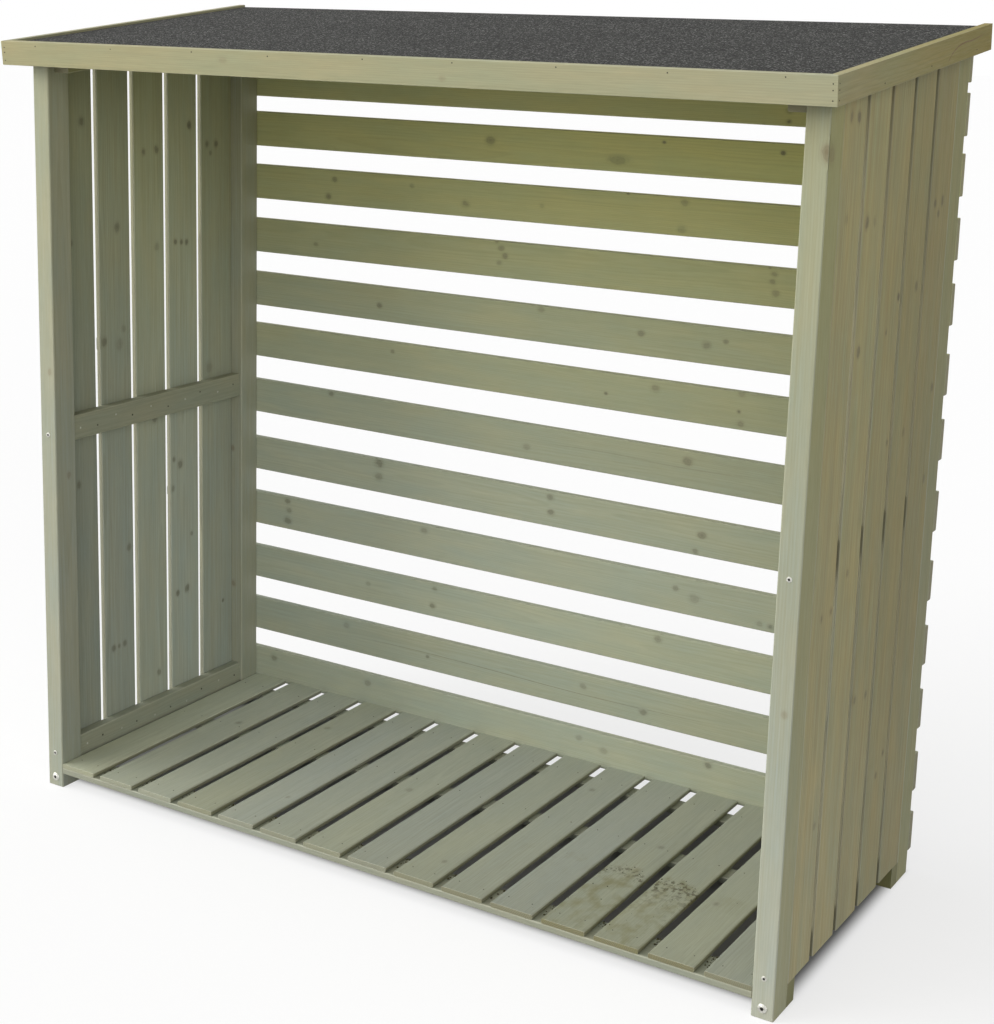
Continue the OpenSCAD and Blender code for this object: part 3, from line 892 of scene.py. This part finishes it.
jitter = nailKit["jitter"]
railNails = []
for side in sides:
    rnd = random.Random(side)
    for rail in ("bottom_rail_", "mid_rail_", "top_rail_"):
        plank = planks[rail + side][0]
        for board in planks["side_boards_" + side]:
            for part in (-nailKit["boardRows"], nailKit["boardRows"]):
                y = board["centre"].y + board["half"][1] * 2 * part
                along = (y - plank["centre"].y) / plank["axes"][0].y + sway(rnd, jitter)
                railNails.append(onFace(plank, -outOf[side], along, sway(rnd, 8) * mm))
driveNails("rail_nails", galvanisedNail, railNails[::2], size=1.15)
driveNails("rail_nails_browned", brownedNail, railNails[1::2])

backNails = []
for node in backBoards:
    rnd = random.Random(node)
    plank = planks[node][0]
    for end in (-1, 1):
        for across in (-nailKit["backAcross"], nailKit["backAcross"]):
            along = end * (plank["half"][0] - nailKit["backEnd"]) + sway(rnd, jitter)
            backNails.append(onFace(plank, -forward, along, across + sway(rnd, jitter)))
driveNails("back_board_nails", galvanisedNail, backNails)

slatNails = []
for index, slat in enumerate(planks["floor_slats"]):
    rnd = random.Random(index)
    for batten in battens:
        y = planks[batten][0]["centre"].y
        for across in (-nailKit["slatAcross"], nailKit["slatAcross"]):
            along = y - slat["centre"].y + sway(rnd, jitter)
            slatNails.append(onFace(slat, up, along, across + sway(rnd, jitter)))
driveNails("floor_slat_nails", brownedNail, slatNails, size=0.6)

# panel pins: three at each corner of the fascia, a row for the felt's upstand, and some at the sides
pins = []
for node, normal, ends in (("fascia_front", forward, (-1, 1)), ("fascia_left", outOf["left"], (-1,)),
                           ("fascia_right", outOf["right"], (-1,))):
    plank = planks[node][0]
    for end in ends:
        for across in nailKit["cornerRows"]:
            pins.append(onFace(plank, normal, end * (plank["half"][0] - nailKit["corner"]), across))
front = planks["fascia_front"][0]
spread = front["half"][0] - nailKit["upstandEnd"]
rnd = random.Random("fascia")
for i in range(nailKit["upstandPins"]):
    along = -spread + 2 * spread * i / (nailKit["upstandPins"] - 1) + sway(rnd, 12) * mm
    pins.append(onFace(front, forward, along, nailKit["upstandHigh"] + sway(rnd, 1.5) * mm))
for side in sides:
    for along in nailKit["sidePins"]:
        pins.append(onFace(planks["fascia_" + side][0], outOf[side], along, nailKit["sideLow"]))
    end = planks["roof_batten_" + side][0]
    for across in (-nailKit["battenAcross"], nailKit["battenAcross"]):
        pins.append(onFace(end, -end["axes"][0], 0, across))
driveNails("fascia_pins", brownedNail, pins, size=0.62)
print("nails driven:", len(railNails) + len(backNails) + len(slatNails) + len(pins))


screwKit = {
    # rings are (radius mm, lobes, height mm) from the wood up, then down into the star recess
    "washer": [(9.0, 0, -0.3), (9.0, 0, 0.5), (8.3, 0, 1.2), (6.0, 0, 2.0), (4.6, 0, 2.4), (3.2, 0.14, 2.5),
               (2.9, 0.14, 0.6)],
    "flat": [(5.0, 0, -0.3), (5.0, 0, 0.5), (4.6, 0, 0.9), (3.2, 0, 1.1), (2.3, 0.14, 1.1), (2.1, 0.14, 0.2)],
    "segments": 24,
    "lowLevel": 20 * mm,         # washer-head screws into the foot ends
    "railLevels": (76 * mm, 793 * mm),
    "postMiddle": 0.829,         # from the rack's middle, in metres
}


def driveScrews():
    bm = bmesh.new()
    for side in sides:
        middle = outOf[side].x * screwKit["postMiddle"]
        for post, normal, levels in (("front_post_", forward, screwKit["railLevels"]),
                                     ("rear_post_", -forward, ())):
            plank = planks[post + side][0]
            face = plank["centre"].y + normal.y * plank["half"][2 if abs(plank["axes"][2].y) > 0.5 else 1]
            for kind, level in [("washer", screwKit["lowLevel"])] + [("flat", z) for z in levels]:
                rings = [(radius * mm, lobes, height * mm) for radius, lobes, height in screwKit[kind]]
                pinAt(bm, Vector((middle, face, level)), normal, loftRings(bm, rings, screwKit["segments"]))
    bmesh.ops.recalc_face_normals(bm, faces=bm.faces)
    screws = newPiece("post_screws", bm, screwZinc)
    screws.data.materials.append(recessShade)


driveScrews()
print("screws driven")


crumbs = {
    "size": (0.6 * mm, 1.7 * mm),          # radius; most are small
    "lump": 1.5 * mm,                      # a crumb's own lumps
    "inSlot": 14,                          # on the front batten, in each slot between two slats
    "slotGrowth": 1.7,                     # how much larger those are
    "slotFrom": 30 * mm,                   # where they lie, behind the slats' front ends
    "slotTo": 73 * mm,
    "onSlat": {10: 3, 11: 30, 12: 44, 13: 2},
    "band": (246 * mm, 12 * mm),           # the middle of their band on a slat, and how far they stray
    "bandShare": 0.7,                      # the others lie loose in front of it
}


def drySoil():
    # Garden soil that has dried on the floor: matt, crumbly, olive-brown, paler where it is driest
    material, add = startMaterial("drySoilCrumbs")
    place = add("TexCoord", out="Object")
    lumps = add("TexNoise", {}, {"Vector": place, "Scale": 1 / crumbs["lump"], "Detail": 3.0}, "Fac")
    colour = setRamp(add("ValToRGB", {}, {0: lumps}),
                     [(0.3, "#2c2b1c"), (0.55, "#4b4930"), (0.8, "#7d7850")])
    finishMaterial(add, {"Base Color": colour, "Roughness": 0.95}, 0.6, 0.4 * mm, lumps)
    return material


def scatterCrumbs():
    rnd = random.Random("crumbs")
    slats = planks["floor_slats"]
    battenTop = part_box("floor_batten_front")[1][2]
    places = []
    for slat, beside in zip(slats, slats[1:]):
        low, high = slat["centre"].x + slat["half"][1], beside["centre"].x - beside["half"][1]
        front = slat["centre"].y - slat["half"][0]
        for i in range(crumbs["inSlot"]):
            behind = crumbs["slotTo"] - (crumbs["slotTo"] - crumbs["slotFrom"]) * rnd.random() ** 2
            places.append((Vector((rnd.uniform(low + 3 * mm, high - 3 * mm), front + behind, battenTop)),
                           crumbs["slotGrowth"]))
    for index, count in crumbs["onSlat"].items():
        slat = slats[index]
        for i in range(count):
            aside = rnd.uniform(-0.93, 0.93)
            behind = rnd.gauss(*crumbs["band"]) if rnd.random() < crumbs["bandShare"] else rnd.uniform(6, 230) * mm
            behind += timberCut["dirtBow"] * (1 - aside * aside)
            places.append((Vector((slat["centre"].x + aside * slat["half"][1],
                                   slat["centre"].y - slat["half"][0] + behind,
                                   slat["centre"].z + slat["half"][2])), 1.0))
    bm = bmesh.new()
    for place, growth in places:
        small, large = crumbs["size"]
        radius = growth * (small + (large - small) * rnd.random() ** 3)
        turn = Matrix.Rotation(rnd.uniform(0, math.pi), 4, "Z") @ Matrix.Rotation(rnd.uniform(-0.5, 0.5), 4, "X")
        squash = Matrix.Diagonal((rnd.uniform(0.8, 1.4), rnd.uniform(0.7, 1.1), rnd.uniform(0.5, 0.8), 1))
        bmesh.ops.create_icosphere(bm, subdivisions=1, radius=radius,
                                   matrix=Matrix.Translation(place + up * radius * 0.35) @ turn @ squash)
    newPiece("soil_crumbs", bm, drySoil())
    print("crumbs scattered:", len(places))


scatterCrumbs()


lightRig = {
    # lamp: strength, soft angle, from which side (0 front, 90 right, 270 left), height above the horizon
    "sideSoft": (3.1, 60, 302, 12),
    "frontSoft": (1.0, 45, 45, 12),
    "topSoft": (1.4, 80, 315, 50),
    "sky": 0.3,
    "floor": "#aaaaaa",
    "floorSeen": "#ffffff",
    "floorGlow": 0.7,            # the share of the floor's white that the rack's shadow doesn't reach,
    "underMiddle": (0, 0.04, 0),      # but under the rack it all lies in the shadow: its middle,
    "underInner": (0.82, 0.3, 1),     # and how far from there the shadow is full, and has faded out
    "underOuter": (0.86, 0.34, 2),
}


def whiteWorld():
    # the rack is lit by an even pale sky; the camera, gloss and glass see plain white
    world = bpy.data.worlds.new("softSky")
    scene.world = world
    world.use_nodes = True
    world.node_tree.nodes.clear()
    add = functools.partial(addNode, world.node_tree)
    path = add("LightPath")
    seen = add("Math", {"operation": "MAXIMUM"},
               {0: path.outputs["Is Camera Ray"], 1: path.outputs["Is Glossy Ray"]}, 0)
    seen = add("Math", {"operation": "MAXIMUM"}, {0: seen, 1: path.outputs["Is Transmission Ray"]}, 0)
    sky, white = [add("Background", {}, {"Color": "#ffffff", "Strength": strength}, 0)
                  for strength in (lightRig["sky"], 1.0)]
    both = add("MixShader", {}, {0: seen, 1: sky, 2: white}, 0)
    add("OutputWorld", {}, {"Surface": both})


def paleFloor():
    bm = bmesh.new()
    bmesh.ops.create_grid(bm, x_segments=1, y_segments=1, size=40)
    bmesh.ops.translate(bm, verts=bm.verts, vec=(0, 0, -0.5 * mm))
    material, add = startMaterial("paleStudioFloor")
    path = add("LightPath")
    seen = add("Math", {"operation": "MAXIMUM"},
               {0: path.outputs["Is Camera Ray"], 1: path.outputs["Is Glossy Ray"]}, 0)
    place = add("TexCoord", out="Object")
    place = add("VectorMath", {"operation": "SUBTRACT"}, {0: place, 1: lightRig["underMiddle"]}, 0)
    place = add("VectorMath", {"operation": "ABSOLUTE"}, {0: place}, 0)
    place = add("MapRange", {"data_type": "FLOAT_VECTOR", "interpolation_type": "SMOOTHSTEP"},
                {6: place, 7: lightRig["underInner"], 8: lightRig["underOuter"], 9: (0, 0, 0), 10: (1, 1, 1)}, 1)
    place = add("SeparateXYZ", {}, {0: place})
    clear = add("Math", {"operation": "MAXIMUM"}, {0: place.outputs["X"], 1: place.outputs["Y"]}, 0)
    seen = add("Math", multiply, {0: seen, 1: clear}, 0)
    colour = add("Mix", rgb, {0: seen, 6: lightRig["floor"], 7: lightRig["floorSeen"]}, 2)
    matt = add("BsdfPrincipled", {}, {"Base Color": colour, "Roughness": 1.0, "Specular IOR Level": 0.0}, 0)
    glow = add("Emission", {}, {"Color": lightRig["floorSeen"], "Strength": 1.0}, 0)
    share = add("Math", multiply, {0: seen, 1: lightRig["floorGlow"]}, 0)
    both = add("MixShader", {}, {0: share, 1: matt, 2: glow}, 0)
    add("OutputMaterial", {}, {"Surface": both})
    floor = newObject("pale_floor", newMesh("pale_floor", bm, material))


def hangLamp(name):
    strength, softness, side, height = lightRig[name]
    lamp = bpy.data.lights.new(name, "SUN")
    lamp.energy = strength
    lamp.angle = math.radians(softness)
    hung = newObject(name, lamp)
    turn, rise = math.radians(side), math.radians(height)
    source = Vector((math.sin(turn) * math.cos(rise), -math.cos(turn) * math.cos(rise), math.sin(rise)))
    hung.rotation_euler = (-source).to_track_quat("-Z", "Y").to_euler()


viewPoint = {
    "lens": 65.73,               # on a 36 mm sensor
    "shift": (0.0947, -0.1240),
    "eye": (1.9033, -3.1333, 1.7298),
    "turn": 33.34, "tilt": -11.98, "roll": 1.01,     # degrees: to the left, up, and round the line of sight
}


def shootFrom():
    camera = bpy.data.cameras.new("camera")
    camera.sensor_width = 36
    camera.sensor_fit = "AUTO"
    camera.lens = viewPoint["lens"]
    camera.shift_x, camera.shift_y = viewPoint["shift"]
    camera.clip_end = 100
    eye = newObject("camera", camera)
    turn, tilt, roll = [math.radians(viewPoint[angle]) for angle in ("turn", "tilt", "roll")]
    ahead = Vector((-math.sin(turn) * math.cos(tilt), math.cos(turn) * math.cos(tilt), math.sin(tilt)))
    right = ahead.cross(up).normalized()
    above = right.cross(ahead)
    rightRolled = right * math.cos(roll) + above * math.sin(roll)
    aboveRolled = above * math.cos(roll) - right * math.sin(roll)
    turned = Matrix((rightRolled, aboveRolled, -ahead)).transposed().to_4x4()
    eye.matrix_world = Matrix.Translation(viewPoint["eye"]) @ turned
    scene.camera = eye


whiteWorld()
paleFloor()
for lampName in ("sideSoft", "frontSoft", "topSoft"):
    hangLamp(lampName)
shootFrom()
scene.view_settings.view_transform = "Standard"
print("lit and framed")
